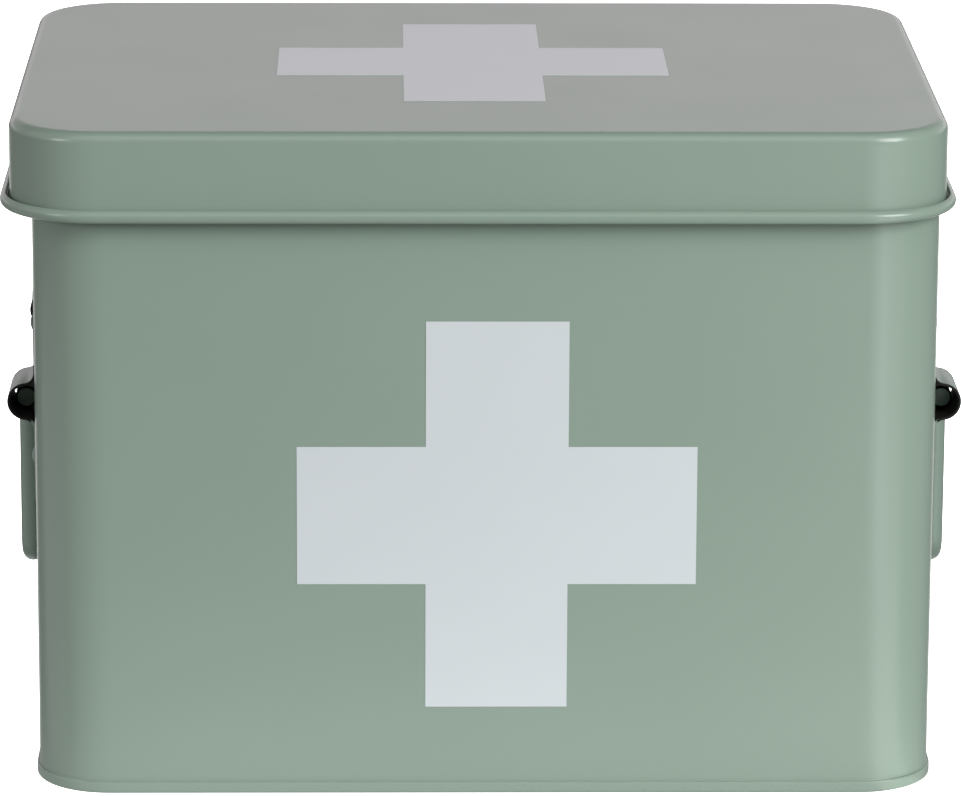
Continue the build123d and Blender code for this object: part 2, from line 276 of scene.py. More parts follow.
def new_effect(name, inputs, outputs):
    """Node group with named inputs and outputs: the group, what it is given and its result."""
    tree = bpy.data.node_groups.new(name, "ShaderNodeTree")
    for way, sockets in (("INPUT", inputs), ("OUTPUT", outputs)):
        for socket, kind in sockets.items():
            tree.interface.new_socket(socket, in_out=way, socket_type="NodeSocket" + kind)
    print(name, "takes", ", ".join(inputs), "and gives", ", ".join(outputs))
    return tree, tree.nodes.new("NodeGroupInput").outputs, tree.nodes.new("NodeGroupOutput").inputs

def placed(tree, effect, place, values):
    """Outputs of an effect placed in a material, with its values."""
    node = tree.nodes.new("ShaderNodeGroup")
    node.node_tree = effect
    tree.links.new(place, node.inputs["Place"])
    for name, value in values.items():
        feed(tree, node.inputs[name], value)
    return node.outputs

# %% Enamel effect
CLOUD, GLOSS_PATCH, PEEL_GRAIN, SHEET_WAVE = 18.0, 45.0, 900.0, 22.0
GLOSS_SPREAD = 0.05

def enamel_effect():
    """Colour, roughness and height of sprayed enamel on thin sheet: tone = dark + cloud x
    (light - dark), roughness = gloss + (patch - 0.5) x spread, height = peel + wave."""
    tree, given, result = new_effect(
        "sprayed enamel",
        {"Place": "Vector", "Light tone": "Color", "Dark tone": "Color", "Gloss": "Float",
         "Gloss spread": "Float", "Peel": "Float", "Waviness": "Float"},
        {"Colour": "Color", "Roughness": "Float", "Height": "Float"})
    place = given["Place"]
    cloud = noise(tree, place, CLOUD, 3.0)
    tree.links.new(mixed(tree, cloud, given["Dark tone"], given["Light tone"]), result["Colour"])
    patch = math_node(tree, "SUBTRACT", noise(tree, place, GLOSS_PATCH), 0.5)
    spread = product(tree, patch, given["Gloss spread"])
    tree.links.new(math_node(tree, "ADD", spread, given["Gloss"]), result["Roughness"])
    peel = product(tree, noise(tree, place, PEEL_GRAIN, 1.0), given["Peel"])
    wave = product(tree, noise(tree, place, SHEET_WAVE, 1.0), given["Waviness"])
    tree.links.new(math_node(tree, "ADD", peel, wave), result["Height"])
    return tree

ENAMEL = enamel_effect()

# %% [markdown]
# ## Sage enamel
# The body and the lid wear the same enamel. The straps, handles, rivets and hinges are painted
# before they are riveted on: their coat is a little darker and duller, and too stiff a metal lies
# under it for any waviness. One function makes all three from the effect, because separate
# materials made by hand would drift apart.

# %% Enamel
def new_finish(name, roughness):
    """Material with its Principled shader and the piece's own coordinates."""
    material = bpy.data.materials.new(name)
    material.use_nodes = True
    tree = material.node_tree
    shader = tree.nodes["Principled BSDF"]
    shader.inputs["Roughness"].default_value = roughness
    place = tree.nodes.new("ShaderNodeTexCoord").outputs["Object"]
    return material, tree, shader, place

def bumped(tree, shader, height, strength, distance):
    """Bump from a height socket into the shader's normal; the distance is in metres."""
    bump = tree.nodes.new("ShaderNodeBump")
    bump.inputs["Strength"].default_value = strength
    bump.inputs["Distance"].default_value = distance
    tree.links.new(height, bump.inputs["Height"])
    tree.links.new(bump.outputs["Normal"], shader.inputs["Normal"])

def enamel(name, light, dark, gloss, peel, waviness):
    """Sage enamel: the sprayed enamel effect on a Principled shader."""
    material, tree, shader, place = new_finish(name, gloss)
    shader.inputs["IOR"].default_value = 1.52
    coat = placed(tree, ENAMEL, place, {
        "Light tone": light, "Dark tone": dark, "Gloss": gloss, "Gloss spread": GLOSS_SPREAD,
        "Peel": peel, "Waviness": waviness})
    tree.links.new(coat["Colour"], shader.inputs["Base Color"])
    tree.links.new(coat["Roughness"], shader.inputs["Roughness"])
    bumped(tree, shader, coat["Height"], strength=0.35, distance=0.00004)
    return material

SAGE_LIGHT, SAGE_DARK = (0.285, 0.378, 0.310), (0.265, 0.355, 0.290)
FITTING_LIGHT, FITTING_DARK = (0.245, 0.325, 0.272), (0.225, 0.300, 0.250)
BODY_PAINT = enamel("sage enamel on the body", SAGE_LIGHT, SAGE_DARK, gloss=0.25, peel=0.5, waviness=0.8)
LID_PAINT = enamel("sage enamel on the lid", SAGE_LIGHT, SAGE_DARK, gloss=0.25, peel=0.5, waviness=0.8)
HARDWARE_PAINT = enamel("sage enamel on the fittings", FITTING_LIGHT, FITTING_DARK, gloss=0.33, peel=0.7,
                        waviness=0.0)
print("enamels", BODY_PAINT.name, LID_PAINT.name, HARDWARE_PAINT.name)

# %% [markdown]
# ## Screen ink
# The crosses are white ink pressed through a screen: an even film with a very slightly mottled
# tone and the fine grain that the mesh leaves. A lighter patch in the enamel's own shader would
# do from afar, but ink lies on top of the paint and shines in its own way. Mottling and grain are
# an effect of their own, because the bare steel below has them too, only darker and coarser.

# %% Mottled effect
def mottled_effect():
    """Colour = dark + patches x (light - dark), and fine grain as height."""
    tree, given, result = new_effect(
        "mottled coat",
        {"Place": "Vector", "Dark tone": "Color", "Light tone": "Color", "Patches": "Float",
         "Patch detail": "Float", "Grain": "Float", "Grain detail": "Float"},
        {"Colour": "Color", "Height": "Float"})
    patches = noise(tree, given["Place"], given["Patches"], given["Patch detail"])
    tree.links.new(mixed(tree, patches, given["Dark tone"], given["Light tone"]), result["Colour"])
    grain = noise(tree, given["Place"], given["Grain"], given["Grain detail"])
    tree.links.new(grain, result["Height"])
    return tree

MOTTLED = mottled_effect()

def mottled(tree, shader, place, dark, light, patches, grain):
    """The mottled coat on a shader, with (scale, detail) of its patches and of its grain, which
    is what it gives back."""
    coat = placed(tree, MOTTLED, place, {
        "Dark tone": dark, "Light tone": light, "Patches": patches[0], "Patch detail": patches[1],
        "Grain": grain[0], "Grain detail": grain[1]})
    tree.links.new(coat["Colour"], shader.inputs["Base Color"])
    return coat["Height"]

# %% Screen ink
INK_DARK, INK_LIGHT = (0.65, 0.71, 0.725), (0.67, 0.73, 0.745)

def screen_print(name):
    """White ink, hardly mottled, with the fine grain of the screen."""
    material, tree, shader, place = new_finish(name, roughness=0.26)
    grain = mottled(tree, shader, place, INK_DARK, INK_LIGHT, patches=(60.0, 4.0), grain=(1400.0, 1.0))
    bumped(tree, shader, grain, strength=0.25, distance=0.00003)
    return material

PRINT_WHITE = screen_print("white screen print")
print(PRINT_WHITE.name)

# %% [markdown]
# ## Bare steel and painted shade
# The hinge pins stay bare: bright drawn wire, scratched along its length by the die: noise
# stretched along the pin gives those scratches, where an anisotropic shader would only give
# their sheen. The insides of the strap loops, their roots and the cut edges beside them get
# painted shade: a near-black steel with brown and grey patches, where shade falls; plain black
# would look like a hole.

# %% Bare steel and painted shade
SCRATCHES = (60, 4000, 4000)
# near-black brown and grey tones of the painted shade inside the loops
SHADE_BROWN, SHADE_GREY = (0.006, 0.006, 0.005), (0.014, 0.013, 0.012)

def drawn_wire(name):
    """Bright steel wire: noise that is drawn out along X, as the pin lies, for its scratches."""
    material, tree, shader, place = new_finish(name, roughness=0.3)
    shader.inputs["Base Color"].default_value = (0.55, 0.56, 0.56, 1)
    shader.inputs["Metallic"].default_value = 1.0
    stretch = tree.nodes.new("ShaderNodeMapping")
    stretch.inputs["Scale"].default_value = SCRATCHES
    tree.links.new(place, stretch.inputs["Vector"])
    scratched = noise(tree, stretch.outputs["Vector"], scale=1.0)
    bumped(tree, shader, scratched, strength=0.3, distance=0.00002)
    return material

def painted_shade_steel(name):
    """Painted shade: dark, dull steel, mottled brown and grey, for the shade inside the loops."""
    material, tree, shader, place = new_finish(name, roughness=0.6)
    shader.inputs["Specular IOR Level"].default_value = 0.25
    grain = mottled(tree, shader, place, SHADE_BROWN, SHADE_GREY, patches=(350.0, 3.0), grain=(1800.0, 2.0))
    bumped(tree, shader, grain, strength=0.3, distance=0.00003)
    return material

# painted shade: a dark steel for the faces in shadow inside the loops
PAINTED_SHADE_STEEL = painted_shade_steel("painted shade inside the loops")
PIN_STEEL = drawn_wire("drawn steel wire")
print(PAINTED_SHADE_STEEL.name, "and", PIN_STEEL.name)

# %% [markdown]
# ## Body
# The wall is one sheet bent into a rounded rectangle. Its top edge is rolled inwards over itself
# so that no cut edge is left, and its ends meet in a flattened lock seam up the back. A cube with
# bevelled corners would have neither the roll nor the sheet's thickness; the section of the
# sheet carried round has both.

# %% Body wall
BODY_WIDTH, BODY_DEPTH, BODY_CORNER = 211.5, 156.0, 17.3
SHEET = 0.6
WALL_FOOT, FOOT_SEAM = 0.65, 2.8
LID_TOP, LID_GAP = 159.5, 0.3
RIM_ROLL, RIM_TURN = 1.3, 268
ROLL_HEIGHT = LID_TOP - SHEET - LID_GAP - RIM_ROLL
BODY_BACK = BODY_DEPTH / 2
low, high = (np.array(corner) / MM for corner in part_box("body_wall"))
print("wall of the frame", np.round(high - low, 2), "made here", BODY_WIDTH, BODY_DEPTH)

def way_round(width, depth, corner, leave=0.0, arrive=0.0):
    """Line clockwise round a rounded rectangle, seen from above, from x = leave on the back
    edge to x = arrive on it: four runs with a quarter circle at each corner between them."""
    x, y = width / 2, depth / 2
    in_x, in_y = x - corner, y - corner
    return joined(
        run((leave, y), (in_x, y)), arc((in_x, in_y), corner, 90, -90),
        run((x, in_y), (x, -in_y)), arc((in_x, -in_y), corner, 0, -90),
        run((in_x, -y), (-in_x, -y)), arc((-in_x, -in_y), corner, -90, -90),
        run((-x, -in_y), (-x, in_y)), arc((-in_x, in_y), corner, 180, -90),
        run((-in_x, y), (arrive, y)))

def carried_round(section, width, depth, corner):
    """Grid of a section carried once round; the path's last point is its first, so it goes."""
    return carried(section, way_round(width, depth, corner))[:, :-1]

half = SHEET / 2
wall_line = joined(run((-half, WALL_FOOT + half), (-half, ROLL_HEIGHT)),
                   arc((-RIM_ROLL, ROLL_HEIGHT), RIM_ROLL - half, 0, RIM_TURN, 15))
wall = carried_round(sheet_section(wall_line, SHEET), BODY_WIDTH, BODY_DEPTH, BODY_CORNER)

# %% [markdown]
# The lock seam up the back is the flattened fold where the wall's two ends meet. It is a flat bar
# in all but name, and the straps and the hinge leaves are flat bars too, so one function makes
# them all: a rounded rectangle carried along a line. A scaled cube with a Bevel modifier could do
# a straight one, but not the bent straps.

# %% Flat bars and the lock seam
def taper(length, reach):
    """What a rounding of a given reach takes off at a length from the end:
    reach - sqrt(reach^2 - (reach - length)^2)."""
    short = np.clip(reach - length, 0, reach)
    return reach - np.sqrt(reach ** 2 - short ** 2)

def easing(reach, count=7):
    """Distances from an end, close together at it: reach (1 - cos b)."""
    return reach * (1 - np.cos(np.linspace(0, np.pi / 2, count)))

def bar(line, across, half_width, thickness, edge, corners=(0.0, 0.0)):
    """Skin of a flat bar along a 3-D line. Its section is a rectangle with its corners rounded to
    the edge radius; the ends are rounded by the same radius, and in plan by the corner radii."""
    across = np.array(across, float)
    facing = np.cross(directions(line), across)
    facing /= np.linalg.norm(facing, axis=1, keepdims=True)
    start, end = distance_to_ends(line)
    shrink = taper(np.minimum(start, end), edge)[:, None]
    width = half_width - np.zeros(len(line))
    for length, corner in zip((start, end), corners):
        if corner:
            width = width - taper(length, corner)
    b = np.radians(np.concatenate([np.linspace(0, 90, 5) + 90 * k for k in range(4)]))
    side = np.repeat([1, -1, -1, 1], 5)
    face = np.repeat([1, 1, -1, -1], 5)
    u = side * (width[:, None] - edge) + (edge - shrink) * np.cos(b)
    v = face * (thickness / 2 - edge) + (edge - shrink) * np.sin(b)
    return skin(line[:, None] + u[..., None] * across + v[..., None] * facing[:, None], "strips")

LOCK_WIDTH, LOCK_THICKNESS, LOCK_EDGE, LOCK_PROUD = 6.0, 0.8, 0.3, 0.2
seam_low, seam_high = FOOT_SEAM + SHEET, ROLL_HEIGHT - SHEET
rise = easing(LOCK_EDGE)
seam_z = np.concatenate([seam_low + rise, np.linspace(seam_low + 1, seam_high - 1, 12),
                         (seam_high - rise)[::-1]])
seam_line = np.stack([0 * seam_z, 0 * seam_z + BODY_BACK + LOCK_PROUD, seam_z], axis=1)
lock_seam = bar(seam_line, (1, 0, 0), LOCK_WIDTH / 2, LOCK_THICKNESS, LOCK_EDGE)
make_piece("body_wall_sheet", [skin(wall, "joined"), lock_seam], "box", BODY_PAINT,
           ["body_wall"])

# %% [markdown]
# The bottom is a second sheet. Its edge runs under the wall's foot and is hooked up round the
# outside as a channel that grips the wall; the panel inside it stands a little above the table.
# The real edge is crimped flat by a roller, and one line with tight bends gives that section. The
# enamel runs into the corner above it and bridges the crevice, so a small fillet of paint is laid
# round there; with a bare gap the seam would look far too dark.

# %% Bottom pan
GRIP_GAP, PANEL_RISE, PAINT_FILLET, FLAT_EDGE = 0.05, 2.2, 0.2, 6.0
grip_in, grip_out = -SHEET - GRIP_GAP - half, GRIP_GAP + half
panel_z, bend = PANEL_RISE + half, 0.36
pan_line = joined(
    run((grip_in - FLAT_EDGE, panel_z), (grip_in - bend, panel_z)),
    arc((grip_in - bend, panel_z - bend), bend, 90, -90, 15),
    run((grip_in, panel_z - bend), (grip_in, half + bend)),
    arc((grip_in + bend, half + bend), bend, 180, 90, 15),
    run((grip_in + bend, half), (grip_out - bend, half)),
    arc((grip_out - bend, half + bend), bend, -90, 90, 15),
    run((grip_out, half + bend), (grip_out, FOOT_SEAM - half)))
pan_section = sheet_section(pan_line, SHEET, round_start=False)
pan = carried_round(pan_section, BODY_WIDTH, BODY_DEPTH, BODY_CORNER)
sunk_out, sunk_down, fillet_top = -0.03, FOOT_SEAM - 0.1, FOOT_SEAM + PAINT_FILLET
fillet = np.concatenate([arc((PAINT_FILLET, fillet_top), PAINT_FILLET, 180, 90, 10),
                         [(PAINT_FILLET, sunk_down), (sunk_out, sunk_down), (sunk_out, fillet_top)]])
bridge = carried_round(fillet, BODY_WIDTH, BODY_DEPTH, BODY_CORNER)
make_piece("bottom_pan_sheet", [skin(filled(pan), "poles"), skin(bridge, "joined")], "box",
           BODY_PAINT, ["bottom_pan"])

# %% [markdown]
# ## Lid
# The lid is drawn from one blank: a flat top, a soft shoulder, a short skirt, and a rolled curl
# at the bottom that stiffens the edge and gives fingers something to lift. The curl stops at the
# hinges, where the leaves pass, so it is made as two lengths with cut ends. A Boolean could cut
# it, but separate lengths keep the rows clean.

# %% Lid
LID_OVERHANG, LID_SHIFT, LID_HEIGHT, SHOULDER = 3.25, -1.8, 20.9, 2.5
LID_WIDTH, LID_DEPTH = BODY_WIDTH + 2 * LID_OVERHANG, BODY_DEPTH + 2 * LID_OVERHANG
LID_CORNER = BODY_CORNER + LID_OVERHANG
CURL_PROUD, CURL_HEIGHT = 2.3, 3.0
CURL_TIGHT, CURL_OPEN, OPENING = 112.0, 74.0, 1.6
curl_inner = (CURL_PROUD - SHEET) / 2
lid_bottom = LID_TOP - LID_HEIGHT
curl_centre = lid_bottom + curl_inner + SHEET
curl_upper = lid_bottom + CURL_HEIGHT - curl_inner - SHEET
lid_line = joined(
    run((-SHOULDER - FLAT_EDGE, LID_TOP - half), (-SHOULDER, LID_TOP - half)),
    arc((-SHOULDER, LID_TOP - SHOULDER), SHOULDER - half, 90, -90, 6),
    run((-half, LID_TOP - SHOULDER), (-half, curl_centre)))
shift = np.array([LID_SHIFT, 0, 0])
skirt = carried_round(sheet_section(lid_line, SHEET, False, False), LID_WIDTH, LID_DEPTH, LID_CORNER)

# %% [markdown]
# The curl is rolled tight along the front. At the corners and along the sides the stretched metal
# springs back and it stays a little open. Two grids, one for each state, share their rows and
# columns, so the curl can pass from one to the other as the path turns. The two lengths that are
# cut off for the hinges are closed by strips, as a cut sheet is.

# %% Curl
LEAD, CURL_STEPS = 0.01, 12

def curl_section(turn):
    """Section of the curl: from the skirt down, half round under, up, and turned back over the
    top through an angle, which leaves a crevice between its edge and the skirt."""
    line = joined(
        run((-half, curl_centre), (-half, curl_centre - LEAD)),
        arc((curl_inner, curl_centre), curl_inner + half, 180, 180, 9),
        run((2 * curl_inner + half, curl_centre), (2 * curl_inner + half, curl_upper)),
        arc((curl_inner, curl_upper), curl_inner + half, 0, turn, turn / CURL_STEPS))
    return sheet_section(line, SHEET, round_start=False)

def curl_along(path):
    """The curl carried along a path, tight where it runs along X and open where it runs along Y:
    tight + share x (open - tight), where share = opening x |Y part of the direction|, at most 1."""
    tight, open_ = (carried(curl_section(turn), path) for turn in (CURL_TIGHT, CURL_OPEN))
    share = np.clip(OPENING * np.abs(directions(path)[:, 1]), 0, 1)[None, :, None]
    return skin((tight + share * (open_ - tight) + shift).transpose(1, 0, 2), "strips")

HINGE_INSET, NOTCH = 45.75, 16.0
hinge_middle = BODY_WIDTH / 2 - HINGE_INSET
inner_cut, outer_cut = hinge_middle - NOTCH, hinge_middle + NOTCH
long_way = way_round(LID_WIDTH, LID_DEPTH, LID_CORNER, outer_cut - LID_SHIFT, -outer_cut - LID_SHIFT)
short_way = run((-inner_cut - LID_SHIFT, LID_DEPTH / 2), (inner_cut - LID_SHIFT, LID_DEPTH / 2))
curls = [curl_along(way) for way in (long_way, short_way)]
make_piece("lid_sheet", [skin(filled(skirt) + shift, "poles")] + curls, "lid", LID_PAINT,
           ["lid_pan"])

# %% [markdown]
# ## Handle straps
# Each handle hangs in two straps. A strap is a flat bar with round corners, bent outwards in the
# middle into a loop. A Curve with a bevel profile would follow the line too, but its ends would
# stay square; the flat bar carried along the bent line rounds them, as the real one's are.

# %% Strap line
STRAP_Y, STRAP_WIDTH, STRAP_LENGTH, STRAP_SHEET = 45.5, 16.0, 51.4, 0.7
STRAP_MIDDLE, STRAP_CORNER, STRAP_EDGE = 90.1, 2.5, 0.25
LOOP_DROP, LOOP_NOSE, LOOP_REACH, LOOP_ROOT = 1.2, 4.5, 7.0, 2.5
WALL_SIDE = BODY_WIDTH / 2
SIDES, ENDS = (("left", -1), ("right", 1)), (("front", -1), ("rear", 1))

def strap_line():
    """Middle of the strap's sheet as (outwards, height): a flat length, a root bend away from the
    wall, the nose of the loop, the other root bend and the other flat length."""
    out, nose = STRAP_SHEET / 2, STRAP_MIDDLE - LOOP_DROP
    centre, root = LOOP_REACH - LOOP_NOSE, STRAP_SHEET + LOOP_ROOT
    rise = np.sqrt((LOOP_NOSE + LOOP_ROOT) ** 2 - (root - centre) ** 2)
    tip = np.degrees(np.arctan2(rise, root - centre))
    low, high = STRAP_MIDDLE - STRAP_LENGTH / 2, STRAP_MIDDLE + STRAP_LENGTH / 2
    ends = np.concatenate([easing(STRAP_EDGE), easing(STRAP_CORNER)[2:]])
    return joined(
        np.stack([0 * ends + out, low + ends], axis=1),
        run((out, low + STRAP_CORNER), (out, nose - rise)),
        arc((root, nose - rise), LOOP_ROOT + out, 180, -tip, 9),
        arc((centre, nose), LOOP_NOSE - out, -tip, 2 * tip, 6),
        arc((root, nose + rise), LOOP_ROOT + out, 180 + tip, -tip, 9),
        run((out, nose + rise), (out, high - STRAP_CORNER)),
        np.stack([0 * ends + out, high - ends[::-1]], axis=1))

# %% [markdown]
# The shade inside the loops, at their roots and along the cut edges is painted as dark steel. A
# second material slot on some of the faces gives it a clean edge; a mask in the shader would be
# blurred across the sheet's thin edge. The faces are picked by where they are and which way they look.

# %% Faces in painted shade
STRAIGHT_OUT, SIDEWAYS, CUT_FACE, SHADE_INSET = 0.9, 0.5, 0.98, 1.0

def paint_shade_faces(piece, in_shade):
    """Give the dark steel of the painted shade to the faces that a test picks out by their middles
    (distance from the wall, Y, height) and their normals (outwards, along Y, upwards)."""
    mesh = piece.data
    middles, normals = np.empty(len(mesh.polygons) * 3), np.empty(len(mesh.polygons) * 3)
    mesh.polygons.foreach_get("center", middles)
    mesh.polygons.foreach_get("normal", normals)
    x, y, z = middles.reshape(-1, 3).T / MM
    turn_x, turn_y, turn_z = normals.reshape(-1, 3).T
    mesh.materials.append(PAINTED_SHADE_STEEL)
    turn = (turn_x * np.sign(x), np.abs(turn_y), turn_z)
    shaded = in_shade(np.abs(x) - WALL_SIDE, np.abs(y), z, turn)
    mesh.polygons.foreach_set("material_index", shaded.astype(int))
    print(piece.name, int(shaded.sum()), "bare faces")

def loop_shade(out, y, z, turn):
    """Faces that get the painted shade: the inner face of the loop and its roots, turned to the
    loop's axis but not straight out from the wall, and the cut edges of the loop and of the strap above it."""
    to_axis_out, to_axis_up = LOOP_REACH - LOOP_NOSE - out, STRAP_MIDDLE - LOOP_DROP - z
    near = np.abs(to_axis_up) < LOOP_NOSE + LOOP_ROOT
    inner = near & (turn[0] < STRAIGHT_OUT) & (turn[0] * to_axis_out + turn[2] * to_axis_up > 0)
    cut = (out > 2 * STRAP_SHEET) | (to_axis_up < 0)
    return np.where(turn[1] < SIDEWAYS, inner, cut)

# %% Straps
out, up = strap_line().T
for side_name, side in SIDES:
    for end_name, end in ENDS:
        line = np.stack([side * (WALL_SIDE + out), 0 * out + end * STRAP_Y, up], axis=1)
        flat = bar(line, (0, 1, 0), STRAP_WIDTH / 2, STRAP_SHEET, STRAP_EDGE, (STRAP_CORNER, STRAP_CORNER))
        loop = make_piece(f"strap_bar_{side_name}_{end_name}", [flat], "box",
                          HARDWARE_PAINT, [f"handle_strap_{side_name}_{end_name}"])
        # painted shade: dark steel on the loop's inside, its roots and its upper cut edges
        paint_shade_faces(loop, loop_shade)

# %% [markdown]
# ## Handles
# A handle is one round rod, bent four times: a grip, two arms, and two ends that turn out into
# the loops and let it swing. The Skin modifier or a bevelled curve would give a rod with flat cut
# ends; a ring carried along the line can shrink at both ends, which rounds the cut.

# %% Handles
ROUND = np.linspace(0, 2 * np.pi, 33)[:-1]
ROD = 5.2 / 2
PIVOT_OUT, PIVOT_HEIGHT, HANDLE_DROP, BEND = ROD + 0.3, 88.094, 43.0, 5.0
STRAP_INNER = STRAP_Y - STRAP_WIDTH / 2
ARM_Y, ROD_END = STRAP_INNER - 6.0, STRAP_INNER + 8.3
CUT_EDGE = 0.6

def handle_line():
    """Axis of the rod as (y, z): end, bend, arm, bend and half of the grip, and then the same
    mirrored in the middle plane, in the opposite order."""
    top, low = PIVOT_HEIGHT, PIVOT_HEIGHT - HANDLE_DROP
    cap = easing(CUT_EDGE)
    first = joined(
        np.stack([-ROD_END + cap, 0 * cap + top], axis=1),
        run((-ROD_END + CUT_EDGE, top), (-ARM_Y - BEND, top)),
        arc((-ARM_Y - BEND, top - BEND), BEND, 90, -90, 7.5),
        run((-ARM_Y, top - BEND), (-ARM_Y, low + BEND)),
        arc((-ARM_Y + BEND, low + BEND), BEND, 180, 90, 7.5))
    grip = run((-ARM_Y + BEND, low), (ARM_Y - BEND, low))
    return joined(first, grip, (first * (-1, 1))[::-1])

def rod(line, x, radius, edge):
    """Skin of a round rod whose axis is a line (y, z) at x: the axis + radius (cos b outwards in
    the line's plane, sin b along X), the radius tapered to round the cut ends."""
    left = left_of(directions(line))
    start, end = distance_to_ends(line)
    size = radius - taper(np.minimum(start, end), edge)
    plane = line[:, None] + (size[:, None, None] * np.cos(ROUND)[None, :, None]) * left[:, None]
    out = x + size[:, None] * np.sin(ROUND)
    return skin(np.concatenate([out[..., None], plane], axis=2), "poles")

def rod_shade(out, y, z, turn):
    """Painted shade on the side and rounded edge of the rod's end inside the loop, but not on the cut face
    at its tip.
    """
    return (y > STRAP_INNER + SHADE_INSET) & (turn[1] < CUT_FACE)

for side_name, side in SIDES:
    wire = make_piece(f"handle_rod_{side_name}",
                      [rod(handle_line(), side * (WALL_SIDE + PIVOT_OUT), ROD, CUT_EDGE)],
                      f"handle_{side_name}", HARDWARE_PAINT, [f"handle_{side_name}"])
    # painted shade: dark steel on the rod's end where the loop shades it
    paint_shade_faces(wire, rod_shade)

# %% [markdown]
# ## Rivets
# A rivet is a turned shape: a domed head, a shank through the sheets and a flat tail inside. The
# Screw modifier could turn the same profile, but a formula puts it in place at once. The hinges
# use the same rivets as the straps.

# %% Rivets
RIVET_STEP = 16.3

def turned(profile, foot, axis, across):
    """Skin of a profile (radius, height) turned about an axis: foot + height x axis +
    radius (cos b across + sin b (axis x across))."""
    foot, axis, across = (np.array(v, float) for v in (foot, axis, across))
    ring = np.cos(ROUND)[:, None] * across + np.sin(ROUND)[:, None] * np.cross(axis, across)
    return skin(foot + profile[:, 1, None, None] * axis + profile[:, 0, None, None] * ring, "poles")

def rivet_profile(grip, head=2.5, shank=1.5, height=1.0, tail=0.7, edge=0.2):
    """Dome of a sphere cap, then the shank through the grip, then the flat tail. It starts and
    ends just beside the axis, where poles close it."""
    dome = (head ** 2 + height ** 2) / (2 * height)
    rim = np.degrees(np.arcsin((dome - height) / dome))
    return joined(
        arc((0, height - dome), dome, 88, rim - 88, 5), run((head, 0), (shank, 0)),
        run((shank, 0), (shank, -grip)), run((shank, -grip), (head, -grip)),
        run((head, -grip), (head, edge - grip - tail)),
        arc((head - edge, edge - grip - tail), edge, 0, -90, 18),
        run((head - edge, -grip - tail), (0.1, -grip - tail)))

profile = rivet_profile(STRAP_SHEET + SHEET)
for side_name, side in SIDES:
    feet = [(side * (WALL_SIDE + STRAP_SHEET), end * STRAP_Y, STRAP_MIDDLE + up * RIVET_STEP)
            for end in (-1, 1) for up in (-1, 1)]
    rivets = [turned(profile, foot, (side, 0, 0), (0, 1, 0)) for foot in feet]
    make_piece(f"strap_rivet_heads_{side_name}", rivets, "box", HARDWARE_PAINT,
               [f"strap_rivets_{side_name}"])

# %% [markdown]
# ## Hinges
# Two butt hinges sit at the back. Each has two leaves whose ends are rolled into knuckles round a
# steel pin: two knuckles on the body's leaf and one between them on the lid's. A cylinder
# primitive would do for a far view, but the rolled knuckle shows its sheet and its gap.

# %% Hinge leaves
LEAF, LEAF_REACH, LEAF_CORNER, LEAF_EDGE = 0.8, 17.0, 2.0, 0.2
HINGE_WIDTH, HINGE_DROP, KNUCKLE_GAP, ROLLED = 30.0, 0.4, 0.2, 326
PLATE_OVER, PLATE_GAP, TONGUE_LAP, PIN_PLAY = 0.01, 0.2, 0.8, 0.05
SKIRT_BACK = LID_DEPTH / 2
barrel = (SKIRT_BACK + LEAF - BODY_BACK) / 2
HINGE_Y, HINGE_Z = BODY_BACK + barrel, lid_bottom - HINGE_DROP - barrel
print("hinge axis", round(HINGE_Y, 3), round(HINGE_Z, 3))

def leaf_plate(middle, y, near, far):
    """Plate of a leaf: a flat bar from its far end, with round corners, to the knuckles. It is a
    hair thicker than the tongues that run into it, so that no two faces lie in one plane."""
    length = abs(far - near)
    rows = np.concatenate([easing(0.25), easing(LEAF_CORNER)[2:], np.linspace(3, length - 0.6, 5),
                           length - easing(0.25)[::-1]])
    z = far + np.sign(near - far) * rows
    line = np.stack([0 * z + middle, 0 * z + y, z], axis=1)
    return bar(line, (1, 0, 0), HINGE_WIDTH / 2, LEAF + PLATE_OVER, LEAF_EDGE, (LEAF_CORNER, 0.0))

def knuckle(tongue, start, stop):
    """Knuckle from x = start to x = stop: the tongue's section, thinner towards both cut ends,
    which rounds their edges."""
    less, inset = (0.3, 0.1, 0.02, 0.02, 0.1, 0.3), (0, 0.06, 0.2, 0.2, 0.06, 0)
    places = [start + by for by in inset[:3]] + [stop - by for by in inset[3:]]
    sections = [np.insert(sheet_section(tongue, LEAF - by), 0, x, axis=1) for by, x in zip(less, places)]
    return skin(np.stack(sections), "strips")

def hinge_leaf(middle, up, knuckles):
    """A leaf, which reaches down (up = -1) on the body or up (up = 1) on the lid: its plate, and
    those of the three knuckles that are its own."""
    y = (BODY_BACK if up < 0 else SKIRT_BACK) + LEAF / 2
    near, far = HINGE_Z + up * (barrel + PLATE_GAP), HINGE_Z + up * LEAF_REACH
    tongue = joined(run((y, near + up * TONGUE_LAP), (y, HINGE_Z)),
                    arc((HINGE_Y, HINGE_Z), barrel - LEAF / 2, 180 if up < 0 else 0, -ROLLED, 9))
    skins = [leaf_plate(middle, y, near, far)]
    for number in knuckles:
        start, stop = (middle + HINGE_WIDTH * (k / 3 - 0.5) for k in (number, number + 1))
        skins.append(knuckle(tongue, start + (KNUCKLE_GAP / 2 if number > 0 else 0),
                             stop - (KNUCKLE_GAP / 2 if number < 2 else 0)))
    return skins

